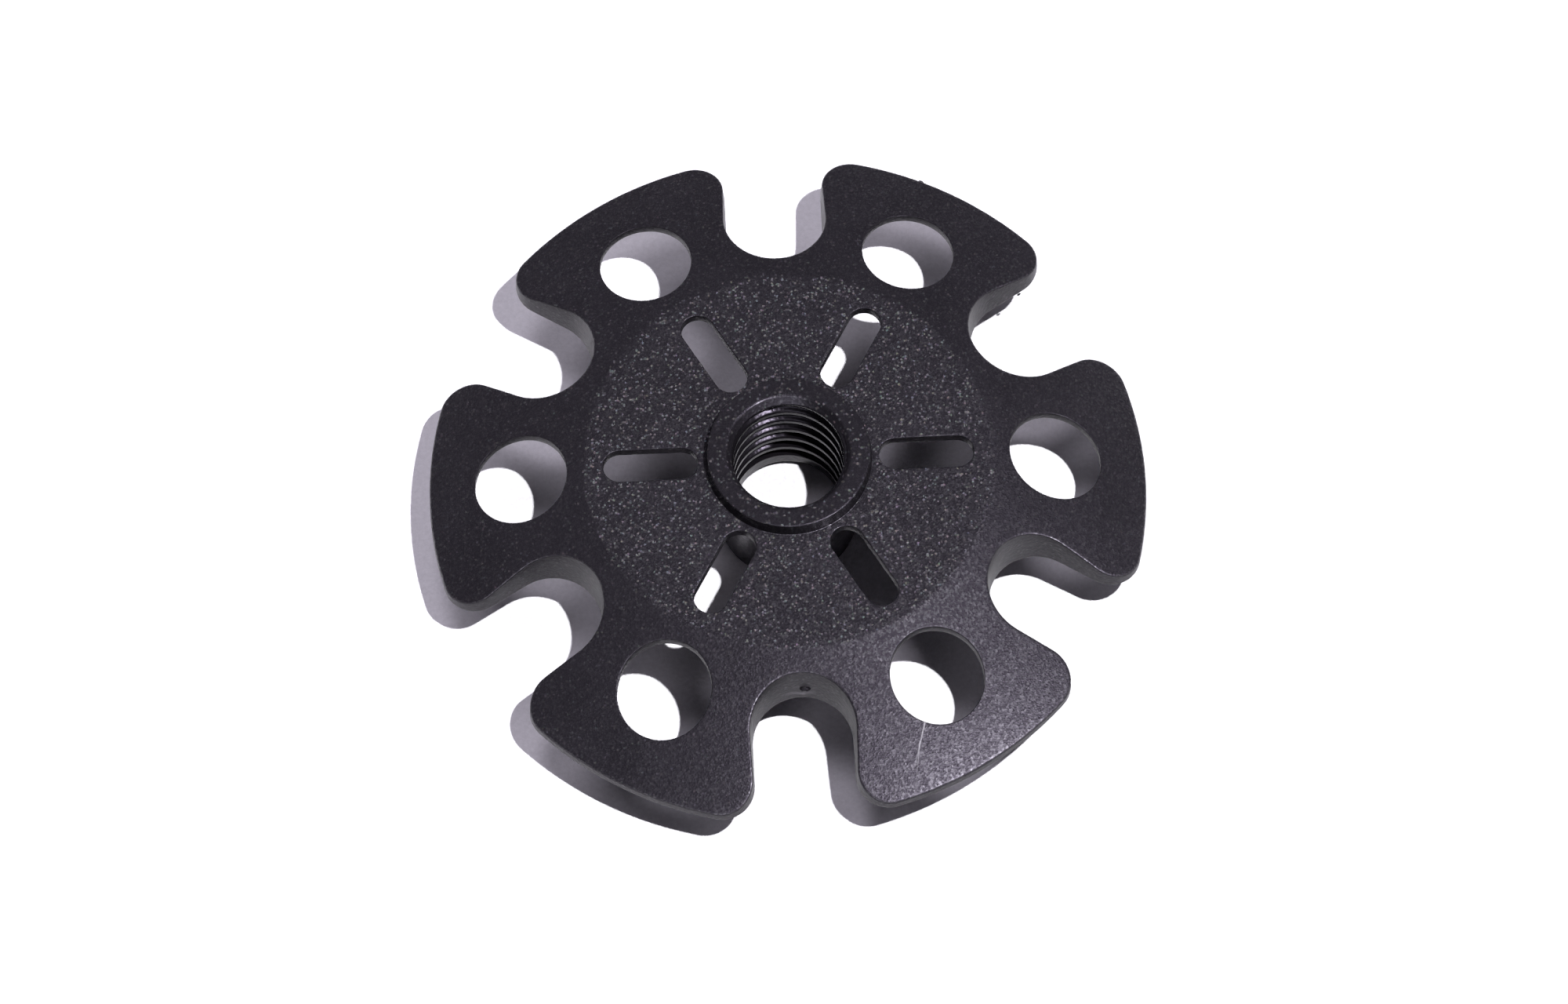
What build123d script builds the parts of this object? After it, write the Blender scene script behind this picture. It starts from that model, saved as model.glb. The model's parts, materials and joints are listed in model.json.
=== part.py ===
from build123d import *
import math
import os

# Snow basket for a trekking pole: one injection moulding.
# Millimetres, +Z up, origin on the hub axis in the plane of the hub's lower end.

# ---- Overall sizes ----
RIM_DIAMETER = 90.0  # across the lobes, at the lower edge of the skirt
HUB_HEIGHT = 19.2  # lower end of the hub to the top of its ring

# ---- Disc ----
PLATE_THICKNESS = 1.5  # wall of the disc
RING_RISE = 2.0  # the hub ring stands this far above the flat of the disc
CREASE_RADIUS = 25.4  # where the flat of the disc meets the dome
CREASE_ANGLE = 13.5  # slope of the dome at the crease, degrees below level
DOME_RADIUS = 118.0  # radius of the dome's section

# ---- Skirt along the outline ----
SKIRT_DEPTH = 1.34  # dome to the skirt's lower edge, at the end of a lobe
SKIRT_WALL = 1.6
DRAFT_ANGLE = 4.0  # mould draft of the skirt, degrees
EDGE_RADIUS = 0.3  # rounding of the outline's upper edge

# ---- Lobes and notches ----
LOBES = 6
NOTCH_HALF_WIDTH = 6.15  # at the lower edge of the skirt
NOTCH_INSET = 10.15  # centre of the notch's round end, inward from the rim
LOBE_CORNER = 4.0  # corner radius of a lobe, at the lower edge of the skirt
HOLE_RADIUS = 5.8  # lightening hole in each lobe
HOLE_INSET = 11.7  # centre of that hole, inward from the rim

# ---- Slots ----
SLOT_WIDTH = 4.2
SLOT_GAP = 0.9  # ring to the inner end of a slot
SLOT_END = 23.0  # outer end of a slot from the axis

# ---- Hub ----
RING_FACE = 2.55  # countersink to the outside of the ring
RING_EDGE = 0.45  # rounding of the ring's outer edge
SLEEVE_WALL = 1.33  # bottom of the thread's groove to the outside, at the lower end
SLEEVE_FLARE = 0.5  # the sleeve's radius grows by this much towards the disc

# ---- Thread ----
CREST_RADIUS = 6.85  # smallest radius of the thread
THREAD_PITCH = 2.6
GROOVE_RADIUS = 0.62  # round-bottomed groove between two turns
THREAD_LEAD = 2.2  # top of the ring to the centre of the groove's first turn
THREAD_RUNOUT = 3.35  # lower end of the hub to the centre of the groove's last turn
MOUTH_FLARE = 0.9  # the countersink at the top is this much wider than the crest, per side
MOUTH_DEPTH = 1.0
FOOT_FLARE = 0.55  # the same for the countersink at the lower end
FOOT_DEPTH = 1.2

# ---- Derived ----
rim_radius = RIM_DIAMETER / 2
plate_top = HUB_HEIGHT - RING_RISE
lobe_angle = 360 / LOBES
crease = math.radians(CREASE_ANGLE)
dome_centre_r = CREASE_RADIUS - DOME_RADIUS * math.sin(crease)
dome_centre_z = plate_top - DOME_RADIUS * math.cos(crease)
past_rim = rim_radius + 5.0
notch_centre = rim_radius - NOTCH_INSET
hole_centre = rim_radius - HOLE_INSET
mouth_radius = CREST_RADIUS + MOUTH_FLARE
foot_mouth_radius = CREST_RADIUS + FOOT_FLARE
ring_radius = mouth_radius + RING_FACE
slot_start = ring_radius + SLOT_GAP
sleeve_foot_radius = CREST_RADIUS + GROOVE_RADIUS + SLEEVE_WALL
sleeve_top_radius = sleeve_foot_radius + SLEEVE_FLARE


def dome_height(radius, drop):
    """Height of the dome's section at a radius, with the section lowered by drop."""
    return dome_centre_z - drop + math.sqrt(DOME_RADIUS**2 - (radius - dome_centre_r) ** 2)


skirt_lift = dome_height(rim_radius, 0) - SKIRT_DEPTH


def under_dome(drop):
    """Everything above the skirt's lower edge and under the disc's top, lowered by drop."""
    middle = (CREASE_RADIUS + past_rim) / 2
    section = Polyline((past_rim, 0, dome_height(past_rim, drop)), (past_rim, 0, 0), (0, 0, 0))
    section += Line((0, 0, 0), (0, 0, plate_top - drop))
    section += Line((0, 0, plate_top - drop), (CREASE_RADIUS, 0, plate_top - drop))
    section += ThreePointArc(
        (CREASE_RADIUS, 0, plate_top - drop),
        (middle, 0, dome_height(middle, drop)),
        (past_rim, 0, dome_height(past_rim, drop)),
    )
    return revolve(make_face(section), Axis.Z)


def outline(inset):
    """Lobed outline at the skirt's lower edge, moved inward by inset."""
    notch = Pos(notch_centre, 0) * Circle(NOTCH_HALF_WIDTH + inset)
    notch += Pos(notch_centre + past_rim / 2, 0) * Rectangle(past_rim, 2 * (NOTCH_HALF_WIDTH + inset))
    shape = Circle(rim_radius - inset)
    for i in range(LOBES):
        shape -= Rot(0, 0, (i + 0.5) * lobe_angle) * notch
    corners = [v for v in shape.vertices() if math.hypot(v.X, v.Y) > rim_radius - inset - 0.1]
    return fillet(corners, LOBE_CORNER - inset)


def lobed_block(inset):
    """Tapered block over the lobed outline, from the skirt's lower edge to above the disc."""
    block = extrude(outline(inset), HUB_HEIGHT - skirt_lift, taper=DRAFT_ANGLE)
    return Pos(0, 0, skirt_lift) * block


def on_dome(point):
    """Whether a point lies on the upper surface of the dome."""
    radius = math.hypot(point.X, point.Y)
    return CREASE_RADIUS < radius and abs(point.Z - dome_height(radius, 0)) < 0.01


# Domed shell: the disc with its skirt, open underneath
shell = lobed_block(0) & under_dome(0)
top_edges = [e for e in shell.edges() if all(on_dome(e.position_at(t)) for t in (0, 0.5, 1))]
shell = fillet(top_edges, EDGE_RADIUS)
shell -= lobed_block(SKIRT_WALL) & under_dome(PLATE_THICKNESS)

# Hub: ring above the disc and tapered sleeve below it
sleeve = Cone(
    sleeve_foot_radius, sleeve_top_radius, plate_top, align=(Align.CENTER, Align.CENTER, Align.MIN)
)
ring_foot = plate_top - PLATE_THICKNESS / 2
ring = Pos(0, 0, ring_foot) * Cylinder(
    ring_radius, HUB_HEIGHT - ring_foot, align=(Align.CENTER, Align.CENTER, Align.MIN)
)
ring = fillet(ring.edges().group_by(Axis.Z)[-1], RING_EDGE)
basket = shell + sleeve + ring

# Openings in the disc
cutter_foot = skirt_lift - 1.0
cutter_height = HUB_HEIGHT - cutter_foot + 1.0
slot_length = SLOT_END - slot_start
for i in range(LOBES):
    turn = Rot(0, 0, i * lobe_angle)
    hole = Cylinder(HOLE_RADIUS, cutter_height, align=(Align.CENTER, Align.CENTER, Align.MIN))
    basket -= turn * Pos(hole_centre, 0, cutter_foot) * hole
    slot = extrude(SlotOverall(slot_length, SLOT_WIDTH), cutter_height)
    basket -= turn * Pos(slot_start + slot_length / 2, 0, cutter_foot) * slot

# Bore with a countersink at each end
basket -= Cylinder(CREST_RADIUS, HUB_HEIGHT, align=(Align.CENTER, Align.CENTER, Align.MIN))
basket -= Pos(0, 0, HUB_HEIGHT - MOUTH_DEPTH) * Cone(
    CREST_RADIUS, mouth_radius, MOUTH_DEPTH, align=(Align.CENTER, Align.CENTER, Align.MIN)
)
basket -= Cone(
    foot_mouth_radius, CREST_RADIUS, FOOT_DEPTH, align=(Align.CENTER, Align.CENTER, Align.MIN)
)

# Thread: one round-bottomed groove wound down the bore
thread_length = HUB_HEIGHT - THREAD_LEAD - THREAD_RUNOUT
path = Pos(0, 0, THREAD_RUNOUT) * Helix(THREAD_PITCH, thread_length, CREST_RADIUS)
profile = Plane(origin=path @ 0, z_dir=path % 0) * Circle(GROOVE_RADIUS)
basket -= sweep(profile, path=path, is_frenet=True)

os.makedirs("parts", exist_ok=True)
export_step(basket, "parts/snow_basket.step")
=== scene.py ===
import json
import math

import bmesh
import bpy
from mathutils import Matrix, Vector
from mathutils.geometry import delaunay_2d_cdt


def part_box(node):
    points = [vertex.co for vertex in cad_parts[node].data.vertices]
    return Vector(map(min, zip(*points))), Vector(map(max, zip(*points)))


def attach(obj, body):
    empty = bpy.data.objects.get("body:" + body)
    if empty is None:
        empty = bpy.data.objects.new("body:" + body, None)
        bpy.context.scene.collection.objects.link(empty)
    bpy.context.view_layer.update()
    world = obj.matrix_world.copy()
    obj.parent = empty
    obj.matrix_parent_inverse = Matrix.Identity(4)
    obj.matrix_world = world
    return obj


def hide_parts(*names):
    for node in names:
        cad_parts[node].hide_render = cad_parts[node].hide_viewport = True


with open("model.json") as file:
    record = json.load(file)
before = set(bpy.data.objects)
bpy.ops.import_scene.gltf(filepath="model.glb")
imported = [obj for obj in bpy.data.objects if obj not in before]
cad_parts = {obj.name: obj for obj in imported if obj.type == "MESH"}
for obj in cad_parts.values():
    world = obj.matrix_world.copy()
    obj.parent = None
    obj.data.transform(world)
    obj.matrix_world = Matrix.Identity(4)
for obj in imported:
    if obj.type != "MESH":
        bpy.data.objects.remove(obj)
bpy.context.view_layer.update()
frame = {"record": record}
NODE_LOW, NODE_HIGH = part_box("snow_basket")

bl_info = {
    "name": "Snow Basket",
    "version": (1, 0, 0),
    "blender": (4, 5, 0),
    "location": "3D View > Sidebar > Snow Basket",
    "description": "Builds a moulded snow basket for a trekking pole, with its studio",
    "category": "Add Mesh",
}

NODE = "snow_basket"
BODY = "root"
MM = 0.001
WELD = 0.000002  # vertices nearer than this are one
FROM_ABOVE = (1.0, 1.0, 0.0)  # times this, a place is as seen from above

# The zones of the moulding, as the meshes carry them in their "zone" attribute
GRAINED, SMOOTH, GLOSSY = 0.0, 1.0, 2.0
ZONE_NAMES = ("Grained", "Smooth", "Glossy")

# How finely the meshes are divided
FACE_SPACING = 1.5 * MM  # between the inner vertices of the disc's faces
LOBE_STEPS = 24  # along a lobe's share of a circle round the axis
HOLE_STEPS = 72
SLOT_END_STEPS = 16
SLOT_SIDE_STEPS = 7
LATHE_STEPS = 192
BORE_STEPS = 150

# How far each lobe has sprung up or down at the rim, one after another from +X, and where it starts
LOBE_SPRING = (-1.75 * MM, 1.13 * MM, 1.42 * MM, -0.63 * MM, -1.18 * MM, 0.37 * MM)
SPRING_START = 27.0 * MM

# Scratches on the upper face, seen from above: start, end, width, paleness
SCRATCH_COLOUR = (0.5, 0.49, 0.52, 1.0)
SCRATCHES = (
    ((0.01485, -0.03437), (0.01334, -0.03941), 0.12 * MM, 0.5),
    ((0.0141, -0.0366), (0.01345, -0.0409), 0.09 * MM, 0.3),
    ((0.02705, -0.02395), (0.0264, -0.02663), 0.08 * MM, 0.12),
)

# Pale smears round the cut-off gate, seen from the front: start, end, width, paleness
GATE_WALL = -0.027  # they lie in front of this y
SMEAR_COLOUR = (0.2, 0.19, 0.21, 1.0)
GATE_SMEARS = (
    ((0.0003, 0.0105), (-0.0017, 0.0110), 0.45 * MM, 0.6),
    ((0.0003, 0.0105), (0.0016, 0.0112), 0.45 * MM, 0.5),
    ((0.0008, 0.0126), (-0.0008, 0.0124), 0.3 * MM, 0.25),
)

# Small lumps left by the mould: centre, size along, across and up, and the way they lean
MOULD_MARKS = (
    ((0.00055, -0.02856, 0.0119), (1.25, 0.8, 0.85), 0.0),
    ((0.01925, 0.0410, 0.0109), (0.6, 0.3, 0.3), 155.0),
    ((0.03075, 0.02475, 0.0099), (0.5, 0.25, 0.3), 30.0),
    ((-0.0318, -0.0262, 0.0096), (0.5, 0.25, 0.25), -45.0),
)

# The studio, in metres
FLOOR_REACH = 0.55  # from the middle to each side
LIGHT_AIM = Vector((0.0, 0.0, 0.014))
KEY_PLACE = (0.176, -0.125, 0.716)
GLOW_PLACE = (-0.06, -0.74, 0.31)
# Small lights that only the gloss shows: name, degrees from upright, degrees round, distance
MIRRORED = (("sheen", 46.9, 310.6, 0.748), ("lift", 17.1, 357.1, 0.5))
# Soft lights that the gloss doesn't show: name, place, length, height. They share one power.
FILLS = (
    ("fill_low", (-0.32, 0.32, 0.408), 0.5, 0.17),
    ("fill_high", (-0.101, 0.217, 0.672), 0.2, 0.22),
)
CAMERA_AIM = Vector((-0.528 * MM, -5.001 * MM, 15.15 * MM))  # before the camera's azimuth turns it
SENSOR_WIDTH = 36.0  # millimetres, as the lens is
NEAR_CLIP = 0.01
SKY = (0.045, 0.043, 0.049, 1.0)
BACKDROP = (0.93, 0.93, 0.94, 1.0)

THREAD = next(m["dims"] for m in frame["record"]["mounts"] if m["name"] == "pole_thread")


# ---------------------------------------------------------------- sizes and colours


def number(name, description, default, **limits):
    """A number that a user can set."""
    return bpy.props.FloatProperty(name=name, description=description, default=default, **limits)


def size(name, description, default):
    """A length in metres."""
    limits = {"min": 0.0, "precision": 5, "unit": "LENGTH", "subtype": "DISTANCE"}
    return number(name, description, default, **limits)


def angle(name, description, degrees):
    """An angle, given here in degrees."""
    return number(name, description, math.radians(degrees), unit="ROTATION", subtype="ANGLE")


def share(name, description, default):
    """A share from 0 to 1."""
    return number(name, description, default, min=0.0, max=1.0, subtype="FACTOR")


def power(name, description, default):
    """The power of a light in watts."""
    return number(name, description, default, min=0.0, unit="POWER")


def colour(name, description, default):
    """A linear colour that a user can set."""
    limits = {"size": 3, "min": 0.0, "max": 1.0, "subtype": "COLOR"}
    return bpy.props.FloatVectorProperty(
        name=name, description=description, default=default, **limits
    )


class BasketDiscSizes(bpy.types.PropertyGroup):
    """Sizes of the disc, its skirt and its openings."""

    rim_diameter: size(
        "Rim Diameter", "Across the lobes, at the skirt's lower edge", NODE_HIGH.x - NODE_LOW.x
    )
    plate_wall: size("Plate Wall", "Thickness of the disc", 1.5 * MM)
    ring_rise: size("Ring Rise", "The hub's ring stands this far above the flat", 2.0 * MM)
    crease_radius: size("Crease Radius", "Where the flat meets the dome", 25.4 * MM)
    crease_blend: size("Crease Blend", "Half the width of the bend at the crease", 0.3 * MM)
    crease_angle: angle("Crease Angle", "Slope of the dome at the crease", 13.5)
    dome_radius: size("Dome Radius", "Radius of the dome's section", 118.0 * MM)
    skirt_depth: size("Skirt Depth", "Dome to the skirt's lower edge, at a lobe's end", 1.34 * MM)
    skirt_wall: size("Skirt Wall", "Thickness of the skirt", 1.6 * MM)
    draft: angle("Draft", "Mould draft of the skirt", 4.0)
    edge_radius: size("Edge Radius", "Rounding of the outline's upper edge", 0.26 * MM)
    foot_radius: size("Foot Radius", "Rounding of the skirt's lower edges", 0.14 * MM)
    root_radius: size("Root Radius", "Rounding between the skirt and the underside", 0.35 * MM)
    lobes: bpy.props.IntProperty(
        name="Lobes", description="Lobes round the disc", default=len(LOBE_SPRING), min=3, max=12
    )
    notch_half_width: size("Notch Half Width", "At the skirt's lower edge", 6.15 * MM)
    notch_inset: size("Notch Inset", "Centre of a notch's end, inward from the rim", 10.15 * MM)
    lobe_corner: size("Lobe Corner", "Corner radius of a lobe, at the skirt's lower edge", 4.0 * MM)
    hole_radius: size("Hole Radius", "Lightening hole in each lobe", 5.8 * MM)
    hole_inset: size("Hole Inset", "Centre of that hole, inward from the rim", 11.7 * MM)
    slot_width: size("Slot Width", "Across a slot", 4.2 * MM)
    slot_start: size("Slot Start", "Inner end of a slot from the axis", 11.2 * MM)
    slot_end: size("Slot End", "Outer end of a slot from the axis", 23.0 * MM)
    opening_edge: size("Opening Edge", "Rounding of the edges of holes and slots", 0.14 * MM)
    hub_overlap: size("Hub Overlap", "The disc runs into the hub up to this radius", 9.0 * MM)


class BasketHubSizes(bpy.types.PropertyGroup):
    """Sizes of the hub and its thread."""

    height: size("Height", "Lower end to the top of the ring", NODE_HIGH.z - NODE_LOW.z)
    ring_radius: size("Ring Radius", "Outside of the ring", 10.3 * MM)
    ring_edge: size("Ring Edge", "Rounding of the ring's outer edge", 0.2 * MM)
    ring_lean: size("Ring Lean", "The ring is this much narrower at its top", 0.25 * MM)
    sleeve_top: size("Sleeve Top", "Outside of the sleeve under the disc", 9.3 * MM)
    sleeve_foot: size("Sleeve Foot", "Outside of the sleeve at its lower end", 8.8 * MM)
    crest_radius: size("Crest Radius", "Smallest radius of the thread", THREAD["r_mm"] * MM)
    thread_pitch: size("Thread Pitch", "One turn of the thread", 2.6 * MM)
    thread_depth: size("Thread Depth", "Crest to the bottom of the groove", 0.62 * MM)
    thread_start: size("Thread Start", "Height of the first groove on the +X side", 3.35 * MM)
    thread_top: size("Thread Top", "Where the groove has run out", 19.1 * MM)
    mouth_radius: size("Mouth Radius", "Countersink at the top", 7.75 * MM)
    foot_mouth_radius: size("Foot Mouth Radius", "Countersink at the lower end", 7.4 * MM)


class BasketFinish(bpy.types.PropertyGroup):
    """Colours and roughness of the plastic."""

    plastic: colour("Plastic", "Body colour", (0.0086, 0.0077, 0.0099))
    fleck: colour("Fleck", "Colour of the sparks in the grain", (0.2, 0.185, 0.22))
    fleck_share: share("Fleck Share", "Share of the grain's pits that shine", 0.08)
    grained_roughness: share("Grained Roughness", "Roughness of the upper faces", 0.43)
    smooth_roughness: share("Smooth Roughness", "Roughness of the walls", 0.37)
    glossy_roughness: share("Glossy Roughness", "Roughness of the thread", 0.26)
    grain_size: size("Grain Size", "Size of the spark-eroded grain", 0.26 * MM)
    grain_depth: size("Grain Depth", "Depth of the spark-eroded grain", 0.06 * MM)


class BasketStudio(bpy.types.PropertyGroup):
    """Floor, lights and camera."""

    floor: colour("Floor", "Colour of the floor", (0.84, 0.825, 0.87))
    key_power: power("Key Power", "Small light that draws the shadows", 30.0)
    sheen_power: power("Sheen Power", "Light mirrored in the dome", 23.5)
    lift_power: power("Lift Power", "Light mirrored in the flat", 1.35)
    glow_power: power("Glow Power", "Soft light mirrored in edges that face the front", 1.4)
    fill_power: power("Fill Power", "Two soft lights from above and behind", 2.4)
    lens: number("Lens", "Focal length in millimetres", 104.17, min=1.0)
    distance: size("Camera Distance", "From the aim point", 561.7 * MM)
    azimuth: angle("Camera Azimuth", "Round the object, from the front", -3.316)
    elevation: angle("Camera Elevation", "Above the floor", 66.243)
    roll: angle("Camera Roll", "Round the line of sight", 0.4045)


# ---------------------------------------------------------------- node helpers


def place(tree, kind, inputs=None, **settings):
    """Adds a node. Each input, by name or number, takes a socket's link or a plain value."""
    made = tree.nodes.new(kind)
    for key, value in settings.items():
        setattr(made, key, value)
    for key, value in (inputs or {}).items():
        if isinstance(value, bpy.types.NodeSocket):
            tree.links.new(value, made.inputs[key])
        else:
            made.inputs[key].default_value = value
    return made


def maths(tree, operation, *values, clamp=False):
    """Adds a maths node to either kind of tree and returns its result."""
    settings = {"operation": operation, "use_clamp": clamp}
    return place(tree, "ShaderNodeMath", dict(enumerate(values)), **settings).outputs[0]


def ramp(tree, value, low, high, at_low, at_high, **settings):
    """Maps low to high onto at_low to at_high, clamped."""
    ends = {"From Min": low, "From Max": high, "To Min": at_low, "To Max": at_high}
    return place(tree, "ShaderNodeMapRange", {"Value": value} | ends, **settings).outputs[0]


def vectors(tree, operation, inputs):
    """Adds a vector maths node to a shader tree and returns it."""
    return place(tree, "ShaderNodeVectorMath", inputs, operation=operation)


def noise(tree, at, scale, detail, roughness):
    """Adds a noise texture and returns its value and its colour."""
    values = {"Vector": at, "Scale": scale, "Detail": detail, "Roughness": roughness}
    return place(tree, "ShaderNodeTexNoise", values).outputs


def geometry_tree(name, inputs):
    """A geometry tree with the named inputs and a material for each zone, from mesh to mesh."""
    tree = bpy.data.node_groups.new(name, "GeometryNodeTree")
    tree.interface.new_socket("Geometry", in_out="INPUT", socket_type="NodeSocketGeometry")
    for label, kind in (inputs | dict.fromkeys(ZONE_NAMES, "Material")).items():
        tree.interface.new_socket(label, in_out="INPUT", socket_type=f"NodeSocket{kind}")
    tree.interface.new_socket("Geometry", in_out="OUTPUT", socket_type="NodeSocketGeometry")
    return tree, tree.nodes.new("NodeGroupInput"), tree.nodes.new("NodeGroupOutput")


def run_tree(obj, tree, values):
    """Gives an object the tree with these input values, and keeps the plain mesh that comes out."""
    modifier = obj.modifiers.new(tree.name, "NODES")
    modifier.node_group = tree
    for item in tree.interface.items_tree:
        if item.item_type == "SOCKET" and item.in_out == "INPUT" and item.name in values:
            modifier[item.identifier] = values[item.name]
    obj.update_tag()
    graph = bpy.context.evaluated_depsgraph_get()
    plain = bpy.data.meshes.new_from_object(obj.evaluated_get(graph))
    obj.modifiers.clear()
    rough = obj.data
    obj.data = plain
    bpy.data.meshes.remove(rough)
    plain.name = obj.name


def named_float(tree, name):
    """The field of a float attribute."""
    return place(
        tree, "GeometryNodeInputNamedAttribute", {"Name": name}, data_type="FLOAT"
    ).outputs[0]


def set_zone_materials(tree, geometry, given):
    """Gives each zone's faces its material: smooth everywhere, then grained and glossy over it."""
    grained, smooth, glossy = (given.outputs[name] for name in ZONE_NAMES)
    zone = named_float(tree, "zone")
    near = 0.4
    chosen = (
        (True, smooth),
        (maths(tree, "LESS_THAN", zone, GRAINED + near), grained),
        (maths(tree, "GREATER_THAN", zone, GLOSSY - near), glossy),
    )
    for selection, material in chosen:
        geometry = place(
            tree,
            "GeometryNodeSetMaterial",
            {"Geometry": geometry, "Selection": selection, "Material": material},
        ).outputs[0]
    return geometry


def add_object(name, mesh):
    obj = bpy.data.objects.new(name, mesh)
    bpy.context.scene.collection.objects.link(obj)
    return obj


def close_up(obj):
    """Merges doubles, turns the faces outwards and shades them smooth."""
    shape = bmesh.new()
    shape.from_mesh(obj.data)
    bmesh.ops.remove_doubles(shape, verts=shape.verts, dist=WELD)
    bmesh.ops.dissolve_degenerate(shape, edges=shape.edges, dist=WELD / 4)
    bmesh.ops.recalc_face_normals(shape, faces=shape.faces)
    for face in shape.faces:
        face.smooth = True
    open_edges = sum(1 for e in shape.edges if len(e.link_faces) != 2)
    shape.to_mesh(obj.data)
    shape.free()
    obj.data.update()
    if open_edges:
        raise RuntimeError(f"{obj.name} has {open_edges} open edges")


def finish_piece(obj, stands_for_node=False):
    """Puts a finished piece on the body and, if it stands for the node, hides the node's imported
    part.
    """
    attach(obj, BODY)
    if stands_for_node:
        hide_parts(NODE)


# ---------------------------------------------------------------- disc: heights and outline


def flat_height(disc, hub):
    return hub.height - disc.ring_rise


def top_height(disc, hub, radius):
    """Height of the disc's upper face at a radius: flat, a short bend, then the dome."""
    flat = flat_height(disc, hub)
    bend_start = disc.crease_radius - disc.crease_blend
    if radius <= bend_start:
        return flat
    if radius < disc.crease_radius + disc.crease_blend:
        past = radius - bend_start
        return flat - math.tan(disc.crease_angle) * past**2 / (4 * disc.crease_blend)
    centre_r = disc.crease_radius - disc.dome_radius * math.sin(disc.crease_angle)
    centre_z = flat - disc.dome_radius * math.cos(disc.crease_angle)
    return centre_z + math.sqrt(disc.dome_radius**2 - (radius - centre_r) ** 2)


def outline(disc):
    """Points and outward normals along one lobe at the skirt's lower edge, from notch to notch."""
    rim = disc.rim_diameter / 2
    turn = math.pi / disc.lobes
    along = Vector((math.cos(turn), math.sin(turn)))
    aside = Vector((math.sin(turn), -math.cos(turn)))
    centre = rim - disc.notch_inset
    offset = disc.notch_half_width + disc.lobe_corner
    reach = math.sqrt((rim - disc.lobe_corner) ** 2 - offset**2)
    corner = along * reach + aside * offset
    rim_end = math.atan2(corner.y, corner.x)
    half = []

    def arc(middle, radius, first, last, step, side):
        count = math.ceil(radius * abs(last - first) / step)
        for i in range(count):
            a = first + (last - first) * i / count
            ray = Vector((math.cos(a), math.sin(a)))
            half.append((middle + ray * radius, ray * side))

    arc(Vector((0, 0)), rim, 0.0, rim_end, 0.8 * MM, 1)
    arc(corner, disc.lobe_corner, rim_end, turn + math.pi / 2, 0.4 * MM, 1)
    wall = 5
    half_width = disc.notch_half_width
    for i in range(wall):
        half.append((along * (reach + (centre - reach) * i / wall) + aside * half_width, -aside))
    arc(along * centre, half_width, turn - math.pi / 2, turn - math.pi, 0.45 * MM, -1)
    half.append((along * (centre - half_width), along))
    mirror = [(Vector((p.x, -p.y)), Vector((n.x, -n.y))) for p, n in reversed(half[1:])]
    return mirror + half


def hole_outline(disc):
    """Points of a lobe's hole and their normals, which point into the wall."""
    centre = Vector((disc.rim_diameter / 2 - disc.hole_inset, 0))
    angles = [2 * math.pi * i / HOLE_STEPS for i in range(HOLE_STEPS)]
    rays = [Vector((math.cos(a), math.sin(a))) for a in angles]
    return [(centre + ray * disc.hole_radius, ray) for ray in rays]


def slot_outline(disc):
    """Points of a slot and their normals, which point into the wall."""
    radius = disc.slot_width / 2
    ends = [Vector((disc.slot_end - radius, 0)), Vector((disc.slot_start + radius, 0))]
    points = []
    for k, end in enumerate(ends):
        for i in range(SLOT_END_STEPS + 1):
            a = -math.pi / 2 + math.pi * k + math.pi * i / SLOT_END_STEPS
            ray = Vector((math.cos(a), math.sin(a)))
            points.append((end + ray * radius, ray))
        start, goal = points[-1]
        run = ends[1 - k] - end
        for i in range(1, SLOT_SIDE_STEPS):
            points.append((start + run * i / SLOT_SIDE_STEPS, goal))
    return points


def rounded(first, corner, last, steps):
    """Points from first to last, rounded off towards the corner."""
    points = []
    for i in range(steps + 1):
        t = i / steps
        a, b, c = (1 - t) ** 2, 2 * t * (1 - t), t * t
        points.append(tuple(p * a + q * b + r * c for p, q, r in zip(first, corner, last)))
    return points


def skirt_section(disc, hub, point, normal):
    """The skirt's section at a point of the outline: (inward, height) from top to underside."""
    lean = math.tan(disc.draft)
    foot = top_height(disc, hub, disc.rim_diameter / 2) - disc.skirt_depth

    def top_at(inward):
        return top_height(disc, hub, (point - normal * inward).length)

    edge_in = 0.0
    for _ in range(4):
        edge_in = (top_at(edge_in) - foot) * lean
    edge_z = top_at(edge_in)
    e, f, w = disc.edge_radius, disc.foot_radius, disc.skirt_wall
    start = edge_in + e
    pairs = [(start + 0.3 * MM, top_at(start + 0.3 * MM))]
    wall_top = edge_z - e
    wall_foot = foot + f + 0.1 * MM
    pairs += rounded(
        (start, top_at(start)), (edge_in, edge_z), ((wall_top - foot) * lean, wall_top), 5
    )
    for i in (1, 2, 3):
        z = wall_top + (wall_foot - wall_top) * i / 3
        pairs.append(((z - foot) * lean, z))
    pairs += rounded((f * lean, foot + f), (0.0, foot), (f, foot), 3)
    pairs.append((w / 2, foot))
    pairs += rounded((w - f, foot), (w, foot), (w + f * lean, foot + f), 3)
    under_in = w + (top_at(w + edge_in) - disc.plate_wall - foot) * lean
    under_z = top_at(under_in) - disc.plate_wall
    q = disc.root_radius
    root = under_z - q
    for i in (0, 1, 2):
        z = wall_foot + (root - wall_foot) * i / 3
        pairs.append((w + (z - foot) * lean, z))
    past = under_in + q
    last = (past, top_at(past) - disc.plate_wall)
    pairs += rounded((w + (root - foot) * lean, root), (under_in, under_z), last, 4)
    past += 0.25 * MM
    pairs.append((past, top_at(past) - disc.plate_wall))
    return pairs


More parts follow.
